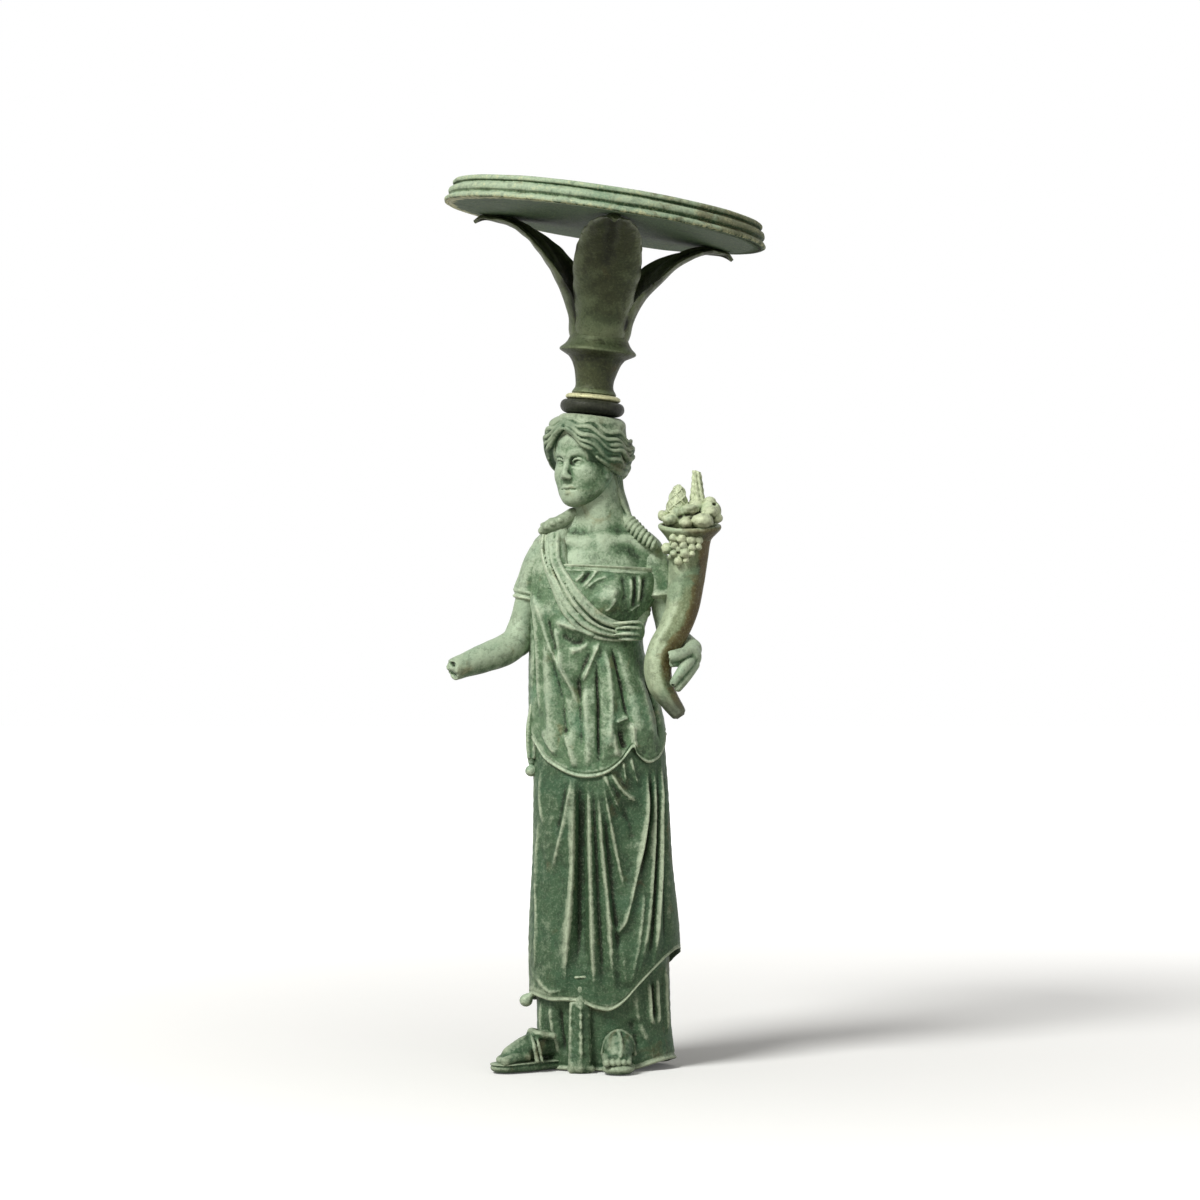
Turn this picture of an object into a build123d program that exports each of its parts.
from build123d import *
import os
from math import cos, pi, radians, sin, tan

# Classical bronze lamp stand: a draped standing woman with a horn of plenty on her left arm carries a
# round lamp tray on her head. Millimetres, +Z up, front towards -Y, origin on the floor under her robe.
# The tray, its three leaves, its stem and its two rings lift off the head as one, on a tenon.

os.makedirs("parts", exist_ok=True)

# Fit of the tenon in its socket, and how far the socket goes on below it
tenon_clearance = 0.08
socket_spare = 1.0

# The seat on top of the head, which leans with the stem
seat_x = -2.5
seat_height = 203.0
stem_lean = 5.5

# Tenon, rings and stem: heights are taken along the stem from the seat
tenon_radius = 3.6
tenon_length = 10.0
lower_ring_foot_radius = 7.6
lower_ring_foot = 0.7
lower_ring_radius = 10.0
lower_ring_height = 3.3
upper_ring_radius = 8.6
upper_ring_height = 1.9
stem_foot_radius = 6.4
stem_waist_radius = 5.1
stem_waist_rise = 2.4
stem_top_radius = 8.2
stem_length = 12.6
collar_radius = 12.1
collar_thickness = 2.4
calyx_radius = 8.4
calyx_height = 4.2
calyx_core_radius = 5.6
calyx_core_height = 5.5

# Lamp tray
tray_radius = 50.4
tray_rim_height = 7.4
tray_plate = 4.6
tray_rim_width = 4.6
tray_lip = 1.5
tray_lip_setback = 1.9
tray_band_setback = 0.9
tray_groove = 0.8
tray_centre_radius = 9.0
tray_centre_height = 0.7
tray_bend = 3.0
tray_shift = -1.6
tray_underside = 57.6

# The three leaves that carry the tray
leaf_bearings = {"leaf_front": -88.0, "leaf_right": 30.0, "leaf_left": 150.0}
leaf_foot_width = 13.6
leaf_width = 20.4
leaf_tip_width = 7.0
leaf_thickness = 2.0
leaf_reach = 44.0
leaf_touch = 29.0
leaf_droop = 3.4

# Head, turned to her right
head_x = -3.0
head_y = -0.5
head_turn = 38.0
chin_height = 173.4
crown_height = 201.0
skull_half_width = 9.7
skull_half_depth = 11.6
nose_length = 6.6
nose_width = 3.2
nose_height = 2.2
ear_radius = 2.6
cap_radius = 10.9
cap_height = 5.6

# Hair: a waved roll round the head, a knot behind and a lock on each shoulder
hair_waves = 16
hair_wave_depth = 0.55
hair_half_width = 12.2
hair_half_depth = 13.4
hair_roll_height = 12.5
hair_tilt = 20.0
hair_sweep = 24.0
bun_radius = 5.4
bun_distance = 13.4
bun_height = 187.0
lock_radius = 2.0
lock_beads = 9

# Robe: each garment is a slice of the same draped body, with its own cloth thickness
robe_folds = 15
underskirt_folds = 13
underskirt_height = 40.0
overfold_cloth = 0.7
roll_thickness = 6.6
roll_strands = 3
roll_groove = 0.9
roll_centre = (-2.6, 150.8)
roll_half_length = 23.4
roll_half_depth = 14.6
roll_slope = -46.5
knot_radius = 4.2
knot_middle = (12.4, -11.4, 134.6)
hem_weight_middle = (-24.0, -2.0, 21.0)
neckline_height = 154.6
weight_radius = 1.9

# Each level of the robe: height, middle x, middle y, half width, half depth, depth of the folds
underskirt_levels = [
    (0.0, 4.4, 0.8, 19.2, 13.6, 1.0),
    (12.0, 2.8, 0.6, 19.4, 13.4, 1.0),
    (25.0, 1.4, 0.4, 19.8, 13.6, 0.9),
    (underskirt_height, 0.9, 0.2, 20.2, 13.6, 0.7),
]
skirt_levels = [
    (14.0, 0.2, 0.0, 21.2, 14.8, 0.9),
    (35.0, 1.2, 0.0, 22.6, 15.2, 1.0),
    (66.0, 0.5, 0.0, 20.7, 14.4, 0.9),
    (88.0, -0.2, 0.0, 20.0, 13.8, 0.8),
    (110.0, -0.9, 0.0, 19.4, 13.2, 0.5),
]
body_levels = [
    (86.0, -0.4, 0.0, 20.6, 14.2, 0.8),
    (100.0, -0.6, 0.0, 20.9, 14.2, 0.8),
    (112.0, -1.7, 0.0, 19.9, 13.4, 0.7),
    (122.0, -3.6, 0.0, 18.0, 12.5, 0.5),
    (132.0, -4.6, -0.2, 16.9, 12.0, 0.3),
    (143.0, -3.2, -0.6, 18.3, 12.6, 0.2),
    (152.0, -1.8, -0.2, 20.0, 12.0, 0.1),
    (159.0, -1.4, 0.4, 18.6, 9.8, 0.05),
    (165.0, -1.8, 0.6, 14.8, 7.8, 0.0),
    (168.5, -2.0, 0.4, 10.4, 7.0, 0.0),
    (172.0, -2.2, 0.0, 7.2, 6.6, 0.0),
    (177.5, -2.6, -0.4, 6.2, 6.2, 0.0),
]

# Hems seen from the front, as x and height
overfold_hem = [(-26.0, 106.0), (-4.5, 89.4), (9.4, 97.8), (16.2, 94.0), (25.5, 104.5)]
skirt_hem = [(-28.0, 21.0), (-9.0, 19.0), (6.0, 20.0), (25.4, 35.6), (29.0, 36.2)]
reach = 60.0

# Arms and horn: points along each, with the radius there
right_arm_line = [
    ((-15.6, 0.6, 163.2), 4.2),
    ((-20.6, 0.7, 157.4), 5.0),
    ((-23.2, 0.8, 147.0), 4.2),
    ((-25.3, 0.4, 136.0), 4.0),
    ((-27.2, -1.6, 129.6), 4.3),
    ((-32.5, -5.4, 125.8), 3.9),
    ((-38.5, -9.4, 124.2), 3.2),
    ((-43.4, -12.6, 122.2), 2.8),
]
left_arm_line = [
    ((17.6, 1.0, 157.0), 4.6),
    ((18.9, 1.6, 147.0), 4.2),
    ((19.6, 1.0, 139.0), 3.9),
    ((21.4, -1.4, 132.6), 4.0),
    ((25.4, -5.2, 128.9), 3.5),
    ((28.8, -8.4, 127.4), 2.9),
]
horn_line = [
    ((27.6, -6.0, 166.0), 8.8),
    ((26.8, -6.0, 158.5), 6.6),
    ((25.9, -6.4, 150.0), 5.5),
    ((25.0, -7.2, 141.0), 4.8),
    ((21.8, -9.2, 132.6), 4.5),
    ((17.6, -12.0, 124.6), 4.1),
    ((19.6, -13.6, 117.6), 3.5),
    ((23.0, -14.0, 112.6), 2.8),
    ((25.2, -14.2, 109.0), 2.5),
]
sleeve_length = 19.0
sleeve_cloth = 1.1
left_sleeve_length = 7.5
horn_rim_radius = 9.6
horn_rim_height = 2.4
horn_rim_edge = 0.9
palm_radius = 4.0
palm_middle = (29.2, -11.2, 127.0)
finger_radius = 1.45
finger_lines = {
    "left_thumb": [(27.6, -13.4, 128.6), (24.6, -16.4, 128.4), (22.6, -17.2, 127.4)],
    "left_fingers": [(29.6, -13.8, 124.6), (27.0, -17.4, 121.6), (23.4, -18.2, 118.6)],
}

# Locks of hair, from the nape to their ends on the shoulders
left_lock_line = [(6.8, 1.0, 174.0), (15.2, -4.6, 162.0)]
right_lock_line = [(-9.0, 0.5, 172.0), (-14.4, -4.0, 167.0)]

# Fruit in the mouth of the horn
cone_base = (23.8, -6.6, 171.0)
cone_radius = 3.6
cone_length = 12.6
cone_tiers = 6
spike_base = (30.2, -5.4, 171.6)
spike_radius = 3.3
spike_top_radius = 1.35
spike_length = 11.6
spike_rings = 7
apple_middle = (35.0, -5.0, 172.0)
apple_radius = 3.5
apple_crown_radius = 1.5
apple_crown_height = 2.2
fruit_bed_radius = 7.8
fruit_radius = 2.6
fruit_count = 9
fruit_ring_radius = 6.4
grape_radius = 1.75
grape_rows = [4, 3, 2, 1]
grape_top = (25.4, -16.0, 163.6)
grape_drop = 2.5
grape_spread = 3.0

# Hanging cloth end, centre pleat and feet
lappet_top = 112.0
lappet_foot = 93.6
lappet_width = 4.6
lappet_x = -21.4
pleat_width = 7.6
pleat_height = 29.0
pleat_depth = 17.2
pleat_x = -7.0
pleat_core = 9.0
sole_thickness = 2.2
sole_rim = 0.9
foot_length = 26.0
foot_width = 9.6
foot_heel_width = 7.0
foot_instep = 9.6
foot_toe_height = 2.6
right_foot_toe = (-27.4, -15.6)
right_foot_bearing = 212.0
left_foot_toe = (5.4, -20.6)
left_foot_bearing = 268.0

# The seat and everything above it stand on this leaning plane
seat = Plane(
    origin=(seat_x, 0, seat_height),
    x_dir=(cos(radians(stem_lean)), 0, -sin(radians(stem_lean))),
    z_dir=(sin(radians(stem_lean)), 0, cos(radians(stem_lean))))
rings_height = lower_ring_height + upper_ring_height
collar_base = rings_height + stem_length
calyx_top = collar_base + collar_thickness + calyx_height
tray_tilt = stem_lean + tray_bend
tray_plane = Plane(
    origin=seat.from_local_coords((tray_shift, 0, tray_underside)),
    x_dir=(cos(radians(tray_tilt)), 0, -sin(radians(tray_tilt))),
    z_dir=(sin(radians(tray_tilt)), 0, cos(radians(tray_tilt))))


# One level outline of the robe: an ellipse with folds running round it
def robe_section(level, folds=robe_folds, cloth=0.0):
    height, middle_x, middle_y, half_width, half_depth, fold_depth = level
    steps = 4 * folds
    points = []
    for step in range(steps):
        angle = 2 * pi * step / steps
        swell = cloth + fold_depth * cos(folds * angle)
        points.append((
            middle_x + (half_width + swell) * cos(angle),
            middle_y + (half_depth + swell) * sin(angle)))
    with BuildSketch(Plane.XY.offset(height)) as section:
        with BuildLine():
            Spline(*points, periodic=True)
        make_face()
    return section.sketch


# The flat outlines across a limb or the horn, each square to the line that it follows
def limb_sections(line, thicken=0.0):
    sections = []
    for place, (centre, radius) in enumerate(line):
        before = Vector(*line[max(place - 1, 0)][0])
        after = Vector(*line[min(place + 1, len(line) - 1)][0])
        direction = (after - before).normalized()
        across = direction.cross(Vector(0, 1, 0)).normalized()
        with BuildSketch(Plane(origin=centre, x_dir=across, z_dir=direction)) as section:
            Circle(radius + thicken)
        sections.append(section.sketch)
    return sections


# The part of a limb's line from its start to a given length
def first_stretch(line, length):
    kept = [line[0]]
    for (start, start_radius), (end, end_radius) in zip(line, line[1:]):
        step = (Vector(*end) - Vector(*start)).length
        if length <= step:
            share = length / step
            point = Vector(*start) + (Vector(*end) - Vector(*start)) * share
            kept.append((tuple(point), start_radius + (end_radius - start_radius) * share))
            return kept
        kept.append((end, end_radius))
        length -= step
    return kept


# An egg form with its own three radii
def egg(centre, radii, turn=0.0):
    with BuildPart() as form:
        Sphere(1)
        scale(by=radii)
    return form.part.moved(Location(centre, (0, 0, turn)))


# A block of space below or above a hem that is drawn in the front view
def hem_block(hem, side):
    far = reach * side
    with BuildPart() as block:
        with BuildSketch(Plane.XZ.offset(-reach)):
            with BuildLine():
                start = hem[0]
                end = hem[-1]
                ThreePointArc(hem[0], hem[1], hem[2])
                ThreePointArc(hem[2], hem[3], hem[4])
                Polyline(
                    end, (reach, end[1]), (reach, end[1] + far), (-reach, end[1] + far),
                    (-reach, start[1]), start)
            make_face()
        extrude(amount=2 * reach)
    return block.part


# The shoulder roll's plane, which cuts the robe aslant
roll_normal = (-sin(radians(roll_slope)), 0, cos(radians(roll_slope)))
roll_plane = Plane(
    origin=(roll_centre[0], 0, roll_centre[1]),
    x_dir=(cos(radians(roll_slope)), 0, sin(radians(roll_slope))),
    z_dir=roll_normal)


# The space on one side of a face of the shoulder roll: 1 is above it, -1 below it
def roll_block(face, side):
    with BuildPart() as block:
        with BuildSketch(roll_plane.offset(face * roll_thickness / 2)):
            Rectangle(4 * reach, 4 * reach)
        extrude(amount=side * 2 * reach)
    return block.part


# The space above or below a level
def level_block(height, side):
    with BuildPart() as block:
        with BuildSketch(Plane.XY.offset(height)):
            Rectangle(4 * reach, 4 * reach)
        extrude(amount=side * 2 * reach)
    return block.part


# Tenon, from the socket up through both rings
with BuildPart() as tenon:
    with BuildSketch(seat.offset(-tenon_length)):
        Circle(tenon_radius)
    extrude(amount=tenon_length + rings_height)
    chamfer(tenon.edges().sort_by(Axis.Z)[0], 0.5)
tenon.part.label = "tenon"
export_step(tenon.part, "parts/tenon.step")

# Lower ring: a bold round moulding, undercut where it meets the head
ring_section = Plane(origin=seat.origin, x_dir=seat.x_dir, z_dir=(0, -1, 0))
seat_axis = Axis(seat.origin, seat.z_dir)
with BuildPart() as lower_ring:
    with BuildSketch(ring_section):
        with BuildLine():
            Polyline(
                (tenon_radius, lower_ring_height), (tenon_radius, 0), (lower_ring_foot_radius, 0),
                (lower_ring_foot_radius + 0.5, lower_ring_foot))
            Line((lower_ring_foot_radius + 0.5, lower_ring_foot), (lower_ring_radius - 1.2, lower_ring_foot))
            ThreePointArc(
                (lower_ring_radius - 1.2, lower_ring_foot),
                (lower_ring_radius, (lower_ring_foot + lower_ring_height) / 2),
                (lower_ring_radius - 1.2, lower_ring_height))
            Line((lower_ring_radius - 1.2, lower_ring_height), (tenon_radius, lower_ring_height))
        make_face()
    revolve(axis=seat_axis)
lower_ring.part.label = "lower_ring"
export_step(lower_ring.part, "parts/lower_ring.step")

# Upper ring: a lighter round moulding
with BuildPart() as upper_ring:
    with BuildSketch(ring_section):
        with BuildLine():
            Polyline(
                (upper_ring_radius - 0.8, rings_height), (tenon_radius, rings_height),
                (tenon_radius, lower_ring_height), (upper_ring_radius - 0.8, lower_ring_height))
            ThreePointArc(
                (upper_ring_radius - 0.8, lower_ring_height),
                (upper_ring_radius, lower_ring_height + upper_ring_height / 2),
                (upper_ring_radius - 0.8, rings_height))
        make_face()
    revolve(axis=seat_axis)
upper_ring.part.label = "upper_ring"
export_step(upper_ring.part, "parts/upper_ring.step")

# Stem: flared foot, waist, widening shaft, sharp collar and the calyx that holds the leaves
with BuildPart() as stem:
    with BuildSketch(ring_section):
        with BuildLine():
            foot_top = rings_height + stem_waist_rise
            collar_middle = collar_base + 0.35 * collar_thickness
            collar_top = collar_base + collar_thickness
            Line((0, rings_height), (stem_foot_radius, rings_height))
            ThreePointArc(
                (stem_foot_radius, rings_height),
                (stem_waist_radius + 0.35, rings_height + 0.45 * stem_waist_rise),
                (stem_waist_radius, foot_top))
            ThreePointArc(
                (stem_waist_radius, foot_top),
                ((stem_waist_radius + stem_top_radius) / 2 - 0.25, (foot_top + collar_base) / 2),
                (stem_top_radius, collar_base))
            Polyline(
                (stem_top_radius, collar_base), (collar_radius, collar_middle),
                (calyx_radius + 0.4, collar_top), (calyx_radius, calyx_top),
                (calyx_core_radius, calyx_top), (0.6 * calyx_core_radius, calyx_top + calyx_core_height),
                (0, calyx_top + calyx_core_height), (0, rings_height))
        make_face()
    revolve(axis=seat_axis)
stem.part.label = "stem"
export_step(stem.part, "parts/stem.step")

# Lamp tray: flat underneath, a rim of two lips with a round band between, and a shallow well on top
tray_section = Plane(origin=tray_plane.origin, x_dir=tray_plane.x_dir, z_dir=(0, -1, 0))
tray_axis = Axis(tray_plane.origin, tray_plane.z_dir)
band_bottom = tray_lip + tray_groove
band_top = tray_rim_height - tray_lip - tray_groove
lip_radius = tray_radius - tray_lip_setback
well_radius = lip_radius - tray_rim_width
with BuildPart() as lamp_tray:
    with BuildSketch(tray_section):
        with BuildLine():
            Polyline((0, tray_plate), (0, 0), (tray_radius - tray_lip, 0))
            ThreePointArc(
                (tray_radius - tray_lip, 0), (tray_radius, tray_lip / 2), (tray_radius - 0.4, tray_lip))
            Polyline(
                (tray_radius - 0.4, tray_lip), (tray_radius - 1.9, tray_lip + tray_groove / 2),
                (tray_radius - 1.5, band_bottom))
            ThreePointArc(
                (tray_radius - 1.5, band_bottom),
                (tray_radius - tray_band_setback, (band_bottom + band_top) / 2),
                (tray_radius - 1.9, band_top))
            Polyline(
                (tray_radius - 1.9, band_top), (lip_radius - 1.0, band_top + tray_groove / 2),
                (lip_radius - 0.3, band_top + tray_groove))
            ThreePointArc(
                (lip_radius - 0.3, band_top + tray_groove), (lip_radius, tray_rim_height - tray_lip / 2),
                (lip_radius - 0.7, tray_rim_height))
            Polyline(
                (lip_radius - 0.7, tray_rim_height), (well_radius + 0.8, tray_rim_height),
                (well_radius, tray_plate), (tray_centre_radius, tray_plate),
                (tray_centre_radius - 0.7, tray_plate + tray_centre_height),
                (tray_centre_radius - 1.8, tray_plate + tray_centre_height),
                (tray_centre_radius - 2.5, tray_plate), (0, tray_plate))
        make_face()
    revolve(axis=tray_axis)
lamp_tray.part.label = "lamp_tray"
export_step(lamp_tray.part, "parts/lamp_tray.step")


# A leaf: a curved strip from the calyx to the tray, cut to a leaf outline, with a notched shoulder
def leaf(bearing):
    turned = Plane(
        origin=seat.from_local_coords((0, 0, calyx_top)),
        x_dir=seat.from_local_coords((cos(radians(bearing)), sin(radians(bearing)), 0)) - seat.origin,
        z_dir=seat.z_dir)
    side_view = Plane(origin=turned.origin, x_dir=turned.x_dir, z_dir=-turned.y_dir)
    rise = tray_underside - calyx_top
    slope = -tan(radians(tray_bend)) * cos(radians(bearing))
    bend_rise = 0.76 * rise + slope * (calyx_radius + 12.0)
    touch_rise = 0.93 * rise + slope * leaf_touch
    tip_rise = rise + slope * leaf_reach
    with BuildPart() as blade:
        with BuildSketch(side_view):
            with BuildLine():
                inner = calyx_radius - leaf_thickness
                Spline(
                    (calyx_radius, 0), (calyx_radius + 3.6, 0.38 * rise), (calyx_radius + 12.0, bend_rise),
                    (leaf_touch, touch_rise), (leaf_reach - 4.0, tip_rise - 1.6),
                    (leaf_reach, tip_rise - leaf_droop))
                Line((leaf_reach, tip_rise - leaf_droop), (leaf_reach - 1.6, tip_rise + 2.0))
                Spline(
                    (leaf_reach - 1.6, tip_rise + 2.0), (leaf_touch - 6.0, touch_rise + leaf_thickness),
                    (inner + 10.5, bend_rise + 0.06 * rise), (inner + 3.4, 0.42 * rise), (inner, 0))
                Line((inner, 0), (calyx_radius, 0))
            make_face()
        extrude(amount=leaf_width, both=True)
        with BuildSketch(turned.offset(-1)):
            with BuildLine():
                Spline(
                    (inner - 2.0, leaf_foot_width / 2), (calyx_radius + 6.0, leaf_width / 2),
                    (leaf_touch - 4.0, leaf_width / 2 - 1.0), (leaf_reach - 8.0, leaf_tip_width / 2),
                    (leaf_reach + 1.0, 0.4))
                Line((leaf_reach + 1.0, 0.4), (leaf_reach + 1.0, -0.4))
                Spline(
                    (leaf_reach + 1.0, -0.4), (leaf_reach - 8.0, -leaf_tip_width / 2),
                    (leaf_touch - 4.0, -leaf_width / 2 + 1.0), (calyx_radius + 6.0, -leaf_width / 2),
                    (inner - 2.0, -leaf_foot_width / 2))
                Line((inner - 2.0, -leaf_foot_width / 2), (inner - 2.0, leaf_foot_width / 2))
            make_face()
        extrude(amount=rise + 6, mode=Mode.INTERSECT)
        with BuildSketch(tray_plane):
            Circle(2 * tray_radius)
        extrude(amount=reach, mode=Mode.SUBTRACT)
    return blade.part


for leaf_name, leaf_bearing in leaf_bearings.items():
    with BuildPart() as leaf_piece:
        add(leaf(leaf_bearing))
        for other in leaf_bearings.values():
            if other < leaf_bearing:
                add(leaf(other), mode=Mode.SUBTRACT)
        add(stem.part, mode=Mode.SUBTRACT)
    leaf_piece.part.label = leaf_name
    export_step(leaf_piece.part, "parts/" + leaf_name + ".step")

# Cap: the low round seat on top of the head, with the socket through it
socket_radius = tenon_radius + tenon_clearance
with BuildPart() as cap:
    with BuildSketch(seat.offset(-cap_height)):
        Circle(cap_radius - 0.5)
    with BuildSketch(seat.offset(-0.4 * cap_height)):
        Circle(cap_radius)
    with BuildSketch(seat):
        Circle(cap_radius - 0.9)
    loft()
    with BuildSketch(seat):
        Circle(socket_radius)
    extrude(amount=-cap_height, mode=Mode.SUBTRACT)
cap.part.label = "cap"
export_step(cap.part, "parts/cap.step")

# The space that the cap and the socket take out of the pieces below
with BuildPart() as cap_space:
    with BuildSketch(seat.offset(-cap_height)):
        Circle(2 * cap_radius)
    extrude(amount=reach)
    with BuildSketch(seat.offset(-cap_height)):
        Circle(socket_radius)
    extrude(amount=-(tenon_length + socket_spare - cap_height))

# Head: a plain egg-shaped skull and jaw with a straight nose, eyes, lips and ears
head_forward = Vector(-sin(radians(head_turn)), -cos(radians(head_turn)), 0)
head_side = Vector(cos(radians(head_turn)), -sin(radians(head_turn)), 0)
head_height = crown_height - chin_height
# Share of the head's height, how far forward the middle is, half width and half depth there
head_levels = [
    (0.0, 6.8, 0.28, 0.20),
    (0.09, 5.6, 0.56, 0.42),
    (0.24, 3.4, 0.80, 0.70),
    (0.42, 1.6, 0.93, 0.88),
    (0.62, 0.3, 1.0, 1.0),
    (0.82, -0.3, 0.94, 0.94),
    (1.0, -0.5, 0.70, 0.66),
]


def head_point(side, forward, height):
    base = Vector(head_x, head_y, height)
    return tuple(base + head_side * side + head_forward * forward)


with BuildPart() as head:
    head_sections = []
    for share, forward, wide, deep in head_levels:
        level_height = chin_height + share * head_height
        level_plane = Plane(origin=head_point(0, forward, level_height), x_dir=head_side, z_dir=(0, 0, 1))
        with BuildSketch(level_plane) as head_section:
            Ellipse(wide * skull_half_width, deep * skull_half_depth)
        head_sections.append(head_section.sketch)
    loft(sections=head_sections)
    nose_foot = chin_height + 0.34 * head_height
    nose_root = nose_foot + nose_length
    with BuildSketch(Plane(origin=head_point(0, 10.0, nose_foot), x_dir=head_side, z_dir=(0, 0, 1))) as tip:
        with BuildLine():
            Polyline((-nose_width / 2, 0), (0, -nose_height - 1.2), (nose_width / 2, 0), (-nose_width / 2, 0))
        make_face()
    with BuildSketch(Plane(origin=head_point(0, 10.0, nose_root), x_dir=head_side, z_dir=(0, 0, 1))) as root:
        with BuildLine():
            Polyline((-nose_width / 3, 0), (0, -nose_height), (nose_width / 3, 0), (-nose_width / 3, 0))
        make_face()
    loft(sections=[tip.sketch, root.sketch])
    for side in (-1, 1):
        add(egg(head_point(side * 4.1, 9.3, nose_root - 0.8), (1.8, 1.6, 1.0), -head_turn))
        add(egg(head_point(side * 9.4, 0.2, nose_root - 2.0), (1.2, 1.9, ear_radius), -head_turn))
    add(egg(head_point(0, 10.0, nose_foot - 3.0), (2.5, 1.6, 0.8), -head_turn))
    add(cap_space.part, mode=Mode.SUBTRACT)
head.part.label = "head"
export_step(head.part, "parts/head.step")

# Hair: a waved roll, higher over the brow than behind
hair_plane = Plane(
    origin=(head_x, head_y, chin_height + 0.64 * head_height), x_dir=head_side,
    z_dir=Vector(0, 0, 1) * cos(radians(hair_tilt)) - head_forward * sin(radians(hair_tilt)))


def hair_section(height, swell, turn, wave_depth):
    steps = 4 * hair_waves
    points = []
    for step in range(steps):
        angle = 2 * pi * step / steps
        wave = swell + wave_depth * cos(hair_waves * angle)
        points.append((
            (hair_half_width + wave) * cos(angle + turn),
            (hair_half_depth + wave) * sin(angle + turn)))
    with BuildSketch(hair_plane.offset(height)) as section:
        with BuildLine():
            Spline(*points, periodic=True)
        make_face()
    return section.sketch


with BuildPart() as hair:
    sweep_turn = radians(hair_sweep)
    loft(sections=[
        hair_section(-0.5 * hair_roll_height, -2.2, 0.0, 0.1),
        hair_section(-0.28 * hair_roll_height, -0.3, 0.25 * sweep_turn, hair_wave_depth),
        hair_section(0.0, 0.3, 0.5 * sweep_turn, hair_wave_depth),
        hair_section(0.3 * hair_roll_height, -0.6, 0.8 * sweep_turn, hair_wave_depth),
        hair_section(0.5 * hair_roll_height, -3.0, sweep_turn, 0.1)])
    add(cap_space.part, mode=Mode.SUBTRACT)
    add(head.part, mode=Mode.SUBTRACT)
hair.part.label = "hair"
export_step(hair.part, "parts/hair.step")

# Knot of hair behind the head
with BuildPart() as hair_knot:
    with Locations(head_point(0, -bun_distance, bun_height)):
        Sphere(bun_radius)
    add(head.part, mode=Mode.SUBTRACT)
    add(hair.part, mode=Mode.SUBTRACT)
hair_knot.part.label = "hair_knot"
export_step(hair_knot.part, "parts/hair_knot.step")

# Body above the skirt: one draped form, from which each garment takes its slice
with BuildPart() as body_form:
    loft(sections=[robe_section(level) for level in body_levels])
with BuildPart() as cloak_form:
    loft(sections=[robe_section(level, cloth=overfold_cloth) for level in body_levels[:9]])

# Chest and neck, bare above the neckline
with BuildPart() as chest:
    add(body_form.part)
    add(roll_block(1, -1), mode=Mode.SUBTRACT)
    add(level_block(neckline_height, -1), mode=Mode.SUBTRACT)
    add(head.part, mode=Mode.SUBTRACT)
chest.part.label = "chest"
export_step(chest.part, "parts/chest.step")

# Bodice: the tunic between the roll and the neckline
with BuildPart() as bodice:
    add(cloak_form.part)
    add(roll_block(1, -1), mode=Mode.SUBTRACT)
    add(level_block(neckline_height, 1), mode=Mode.SUBTRACT)
bodice.part.label = "bodice"
export_step(bodice.part, "parts/bodice.step")

# Shoulder roll: twisted strands of cloak from the right shoulder to under the left breast
with BuildPart() as shoulder_roll:
    strand_sections = []
    for place in range(2 * roll_strands + 1):
        swell = roll_groove * (place % 2)
        height = (place / (2 * roll_strands) - 0.5) * roll_thickness
        with BuildSketch(roll_plane.offset(height)) as strand_section:
            Ellipse(roll_half_length + swell, roll_half_depth + swell)
        strand_sections.append(strand_section.sketch)
    loft(sections=strand_sections)
shoulder_roll.part.label = "shoulder_roll"
export_step(shoulder_roll.part, "parts/shoulder_roll.step")

# Overfold: the cloak below the roll, with its curved hem
with BuildPart() as overfold:
    add(cloak_form.part)
    add(roll_block(-1, 1), mode=Mode.SUBTRACT)
    add(hem_block(overfold_hem, -1), mode=Mode.SUBTRACT)
overfold.part.label = "overfold"
export_step(overfold.part, "parts/overfold.step")

# Skirt: from the overfold's hem down to the cloak's slanting lower hem
with BuildPart() as skirt:
    loft(sections=[robe_section(level) for level in skirt_levels])
    add(hem_block(overfold_hem, 1), mode=Mode.SUBTRACT)
    add(hem_block(skirt_hem, -1), mode=Mode.SUBTRACT)
skirt.part.label = "skirt"
export_step(skirt.part, "parts/skirt.step")

# Underskirt: the long tunic below the cloak, down to the floor
with BuildPart() as underskirt:
    loft(sections=[robe_section(level, underskirt_folds) for level in underskirt_levels])
    add(hem_block(skirt_hem, 1), mode=Mode.SUBTRACT)
underskirt.part.label = "underskirt"
export_step(underskirt.part, "parts/underskirt.step")


# Locks of hair: twisted tails that come forward over each shoulder
def lock(start, end):
    with BuildPart() as tail:
        for bead in range(lock_beads):
            share = bead / (lock_beads - 1)
            middle = Vector(*start) * (1 - share) + Vector(*end) * share
            with Locations(tuple(middle)):
                Sphere(lock_radius * (1 - 0.25 * share))
    return tail.part


with BuildPart() as left_lock:
    add(lock(left_lock_line[0], left_lock_line[1]))
    add(chest.part, mode=Mode.SUBTRACT)
    add(head.part, mode=Mode.SUBTRACT)
left_lock.part.label = "left_lock"
export_step(left_lock.part, "parts/left_lock.step")

with BuildPart() as right_lock:
    add(lock(right_lock_line[0], right_lock_line[1]))
    add(chest.part, mode=Mode.SUBTRACT)
    add(shoulder_roll.part, mode=Mode.SUBTRACT)
    add(head.part, mode=Mode.SUBTRACT)
right_lock.part.label = "right_lock"
export_step(right_lock.part, "parts/right_lock.step")

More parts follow.
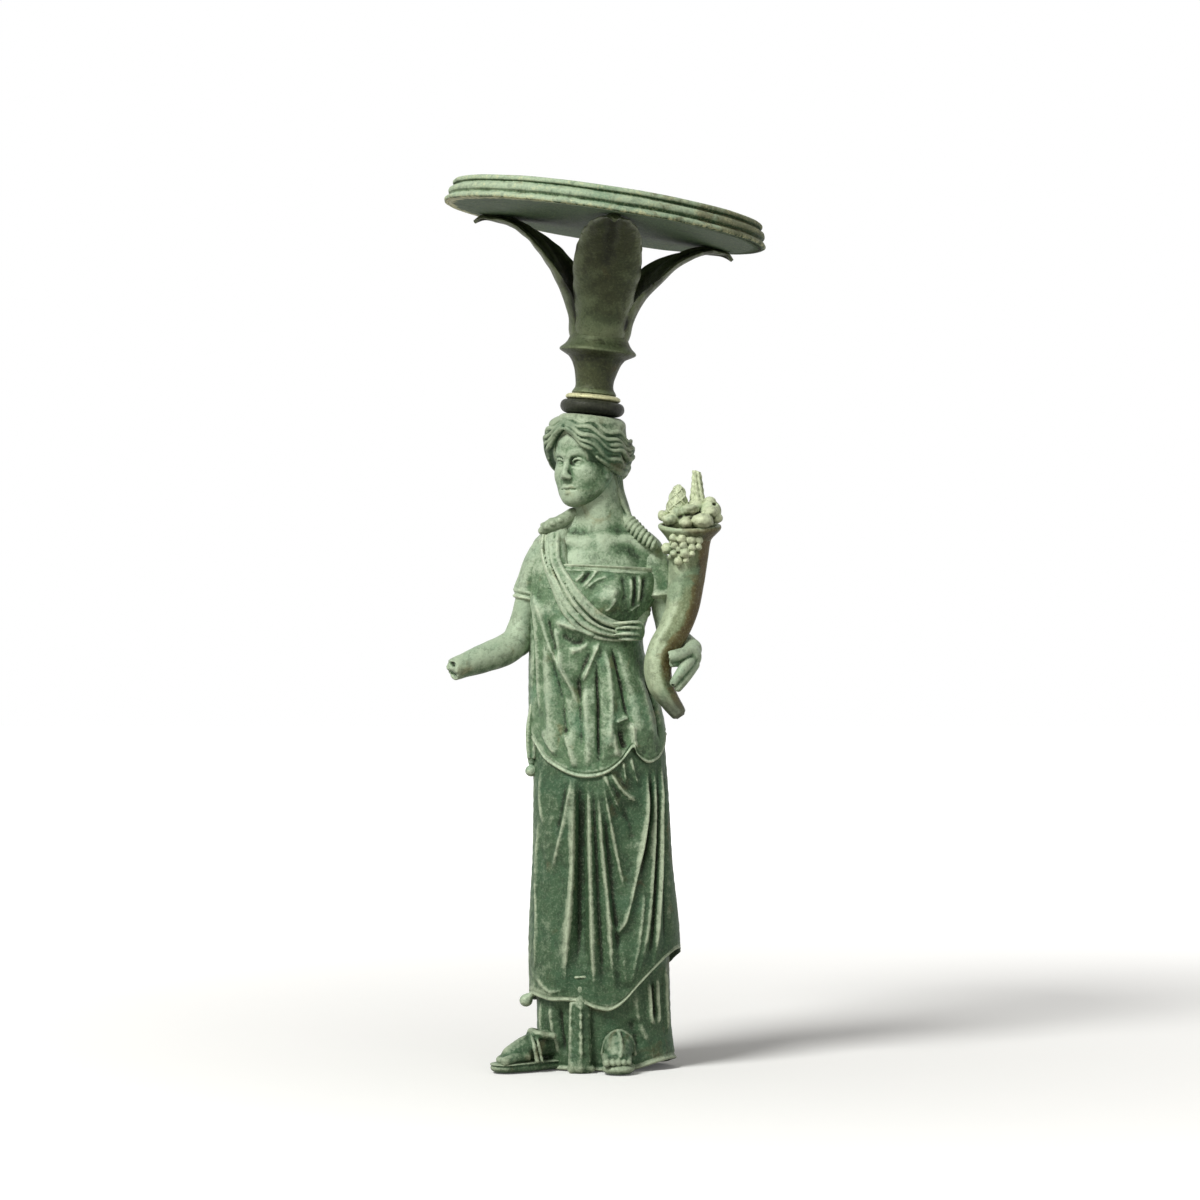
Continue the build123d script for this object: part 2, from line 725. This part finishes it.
# Right arm, bent forward and broken off at the wrist, below its short sleeve
with BuildPart() as right_sleeve:
    loft(sections=limb_sections(first_stretch(right_arm_line, sleeve_length), sleeve_cloth))
    add(overfold.part, mode=Mode.SUBTRACT)
    add(shoulder_roll.part, mode=Mode.SUBTRACT)
with BuildPart() as right_arm:
    loft(sections=limb_sections(right_arm_line))
    add(right_sleeve.part, mode=Mode.SUBTRACT)
    add(overfold.part, mode=Mode.SUBTRACT)
    add(shoulder_roll.part, mode=Mode.SUBTRACT)
for arm_name, arm_builder in (("right_sleeve", right_sleeve), ("right_arm", right_arm)):
    # the cuts leave a sliver at the armpit, so the piece is the largest solid
    arm_solid = arm_builder.part.solids().sort_by(SortBy.VOLUME)[-1]
    arm_solid.label = arm_name
    export_step(arm_solid, "parts/" + arm_name + ".step")

# Horn of plenty: a curved, tapering tube with a rolled rim at its mouth
mouth = Vector(*horn_line[0][0])
mouth_direction = (mouth - Vector(*horn_line[1][0])).normalized()
mouth_plane = Plane(origin=tuple(mouth), x_dir=(1, 0, 0), z_dir=tuple(mouth_direction))
with BuildPart() as horn:
    loft(sections=limb_sections(horn_line))
horn.part.label = "horn"
export_step(horn.part, "parts/horn.step")

with BuildPart() as horn_rim:
    with BuildSketch(mouth_plane):
        Circle(horn_rim_radius)
    extrude(amount=horn_rim_height)
    fillet(horn_rim.edges(), horn_rim_edge)
    add(horn.part, mode=Mode.SUBTRACT)
horn_rim.part.label = "horn_rim"
export_step(horn_rim.part, "parts/horn_rim.step")

# The space beyond the horn's mouth
with BuildPart() as mouth_block:
    with BuildSketch(mouth_plane.offset(horn_rim_height)):
        Circle(reach)
    extrude(amount=reach)

# Left arm, which comes forward under the horn, with its sleeve
with BuildPart() as left_sleeve:
    loft(sections=limb_sections(first_stretch(left_arm_line, left_sleeve_length), sleeve_cloth))
    for neighbour in (horn, bodice, chest):
        add(neighbour.part, mode=Mode.SUBTRACT)
with BuildPart() as left_arm:
    loft(sections=limb_sections(left_arm_line))
    for neighbour in (left_sleeve, horn, bodice, chest, shoulder_roll, overfold):
        add(neighbour.part, mode=Mode.SUBTRACT)
left_sleeve.part.label = "left_sleeve"
export_step(left_sleeve.part, "parts/left_sleeve.step")
left_arm.part.label = "left_arm"
export_step(left_arm.part, "parts/left_arm.step")

# Left hand: the palm beside the horn, a thumb and the closed fingers round it
with BuildPart() as left_hand:
    with Locations(palm_middle):
        Sphere(palm_radius)
    for finger_line in finger_lines.values():
        for start, end in zip(finger_line, finger_line[1:]):
            run = Vector(*end) - Vector(*start)
            with BuildSketch(Plane(origin=start, z_dir=tuple(run))):
                Circle(finger_radius)
            extrude(amount=run.length)
            with Locations(start, end):
                Sphere(finger_radius)
    add(horn.part, mode=Mode.SUBTRACT)
    add(left_arm.part, mode=Mode.SUBTRACT)
left_hand.part.label = "left_hand"
export_step(left_hand.part, "parts/left_hand.step")

# Pine cone: stepped tiers that narrow to a point, leaning outward a little
with BuildPart() as pine_cone:
    with BuildSketch(Plane(origin=cone_base, x_dir=(1, 0, 0), z_dir=(0, -1, 0))):
        with BuildLine():
            tier = cone_length / cone_tiers
            outline = [(0, 0)]
            for place in range(cone_tiers):
                lower = cone_radius * cos(0.5 * pi * (place / cone_tiers) ** 1.6)
                upper = cone_radius * cos(0.5 * pi * ((place + 1) / cone_tiers) ** 1.6)
                outline.append((0.86 * lower, place * tier))
                outline.append((0.5 * (lower + upper), (place + 0.7) * tier))
            outline.append((0, cone_length))
            outline.append((0, 0))
            Polyline(*outline)
        make_face()
    revolve(axis=Axis(cone_base, (0, 0, 1)))
pine_cone.part.label = "pine_cone"
export_step(pine_cone.part, "parts/pine_cone.step")

# Ribbed spike: a tall tapering ear, cut short at its tip
with BuildPart() as ribbed_spike:
    with BuildSketch(Plane(origin=spike_base, x_dir=(1, 0, 0), z_dir=(0, -1, 0))):
        with BuildLine():
            outline = [(0, 0)]
            for place in range(spike_rings):
                share = place / spike_rings
                radius = spike_radius + (spike_top_radius - spike_radius) * share
                outline.append((radius, share * spike_length))
                outline.append((radius, (share + 0.7 / spike_rings) * spike_length))
                outline.append((radius - 0.4, (share + 0.85 / spike_rings) * spike_length))
            outline.append((spike_top_radius, spike_length))
            outline.append((0, spike_length))
            outline.append((0, 0))
            Polyline(*outline)
        make_face()
    revolve(axis=Axis(spike_base, (0, 0, 1)))
    add(pine_cone.part, mode=Mode.SUBTRACT)
ribbed_spike.part.label = "ribbed_spike"
export_step(ribbed_spike.part, "parts/ribbed_spike.step")

# Pomegranate: a round fruit with its small crown
with BuildPart() as pomegranate:
    with Locations(apple_middle):
        Sphere(apple_radius)
    with BuildSketch(Plane(origin=apple_middle)):
        Circle(apple_crown_radius)
    extrude(amount=apple_radius + apple_crown_height)
    add(ribbed_spike.part, mode=Mode.SUBTRACT)
pomegranate.part.label = "pomegranate"
export_step(pomegranate.part, "parts/pomegranate.step")

# Heaped fruit: a ring of small round fruit on a mound that fills the horn's mouth
heap_middle = mouth + mouth_direction * horn_rim_height
with BuildPart() as heaped_fruit:
    with Locations(tuple(heap_middle)):
        Sphere(fruit_bed_radius)
    add(mouth_block.part, mode=Mode.INTERSECT)
    for place in range(fruit_count):
        angle = 2 * pi * place / fruit_count
        offset = Vector(cos(angle), sin(angle), 0) * fruit_ring_radius
        with Locations(tuple(heap_middle + offset + Vector(0, 0, fruit_radius))):
            Sphere(fruit_radius)
    for neighbour in (horn, horn_rim, pine_cone, ribbed_spike, pomegranate):
        add(neighbour.part, mode=Mode.SUBTRACT)
heaped_fruit.part.label = "heaped_fruit"
export_step(heaped_fruit.part, "parts/heaped_fruit.step")

# Bunch of grapes that hangs over the rim
with BuildPart() as grapes:
    for row, count in enumerate(grape_rows):
        for place in range(count):
            across = (place - (count - 1) / 2) * grape_spread
            middle = Vector(*grape_top) + Vector(across, 0.5 * row, -row * grape_drop)
            with Locations(tuple(middle)):
                Sphere(grape_radius)
    for neighbour in (horn, horn_rim, heaped_fruit):
        add(neighbour.part, mode=Mode.SUBTRACT)
grapes.part.label = "grapes"
export_step(grapes.part, "parts/grapes.step")

# Knot where the shoulder roll ends under the left breast
with BuildPart() as roll_knot:
    with Locations(knot_middle):
        Sphere(knot_radius)
    for neighbour in (bodice, overfold, shoulder_roll):
        add(neighbour.part, mode=Mode.SUBTRACT)
roll_knot.part.label = "roll_knot"
export_step(roll_knot.part, "parts/roll_knot.step")

# Hanging end of the cloak at her right side, with its bead weight
with BuildPart() as cloak_end:
    with BuildSketch(Plane.XZ.offset(-lappet_width / 2)):
        with BuildLine():
            inner = lappet_x + 2.0
            Polyline(
                (inner, lappet_top), (lappet_x - 0.4, lappet_top - 4.0), (lappet_x - 1.6, lappet_foot),
                (lappet_x + 1.0, lappet_foot), (inner, lappet_foot + 6.0), (inner, lappet_top))
        make_face()
    extrude(amount=lappet_width)
    with Locations((lappet_x - 0.2, 0, lappet_foot - 0.6 * weight_radius)):
        Sphere(weight_radius)
    for neighbour in (overfold, skirt):
        add(neighbour.part, mode=Mode.SUBTRACT)
cloak_end.part.label = "cloak_end"
export_step(cloak_end.part, "parts/cloak_end.step")

# Bead weight at the left corner of the lower hem
with BuildPart() as hem_weight:
    with Locations(hem_weight_middle):
        Sphere(weight_radius)
    for neighbour in (skirt, underskirt):
        add(neighbour.part, mode=Mode.SUBTRACT)
hem_weight.part.label = "hem_weight"
export_step(hem_weight.part, "parts/hem_weight.step")

# Box pleat at the centre front of the underskirt
with BuildPart() as centre_pleat:
    with BuildSketch(Plane.XY):
        with Locations((pleat_x, -(pleat_depth + pleat_core) / 2)):
            RectangleRounded(pleat_width, pleat_depth - pleat_core, 1.4)
    extrude(amount=pleat_height, taper=1.2)
    for neighbour in (skirt, underskirt):
        add(neighbour.part, mode=Mode.SUBTRACT)
centre_pleat.part.label = "centre_pleat"
export_step(centre_pleat.part, "parts/centre_pleat.step")


# A sandalled foot: a thick sole on the floor, and the foot with its toes on top
def foot_plane(toe, bearing):
    direction = (cos(radians(bearing)), sin(radians(bearing)), 0)
    return Plane(origin=(toe[0], toe[1], 0), x_dir=direction, z_dir=(0, 0, 1))


def sole_outline(edge):
    with BuildSketch() as outline:
        with BuildLine():
            half = foot_width / 2 + edge
            heel = foot_heel_width / 2 + edge
            ThreePointArc((-3.0, half), (edge, 0), (-3.0, -half))
            Line((-3.0, -half), (-foot_length, -heel))
            Line((-foot_length, -heel), (-foot_length, heel))
            Line((-foot_length, heel), (-3.0, half))
        make_face()
    return outline.sketch


for side, toe, bearing in (
        ("right", right_foot_toe, right_foot_bearing), ("left", left_foot_toe, left_foot_bearing)):
    ground = foot_plane(toe, bearing)
    with BuildPart() as sole:
        with BuildSketch(ground):
            add(sole_outline(sole_rim))
        extrude(amount=sole_thickness)
        for neighbour in (underskirt, centre_pleat):
            add(neighbour.part, mode=Mode.SUBTRACT)
    sole.part.label = side + "_sole"
    export_step(sole.part, "parts/" + side + "_sole.step")
    with BuildPart() as foot:
        foot_sections = []
        for share, width, height in (
                (0.06, 0.92, foot_toe_height), (0.3, 1.0, 0.45 * foot_instep), (0.6, 0.86, 0.8 * foot_instep),
                (0.95, 0.74, foot_instep)):
            middle = ground.from_local_coords((-share * foot_length, 0, sole_thickness))
            section_plane = Plane(origin=middle, x_dir=tuple(ground.y_dir), z_dir=tuple(ground.x_dir))
            with BuildSketch(section_plane) as foot_section:
                with BuildLine():
                    half = 0.5 * width * foot_width
                    ThreePointArc((-half, 0), (0, height), (half, 0))
                    Line((half, 0), (-half, 0))
                make_face()
            foot_sections.append(foot_section.sketch)
        loft(sections=foot_sections, ruled=True)
        for neighbour in (underskirt, centre_pleat):
            add(neighbour.part, mode=Mode.SUBTRACT)
    foot.part.label = side + "_foot"
    export_step(foot.part, "parts/" + side + "_foot.step")
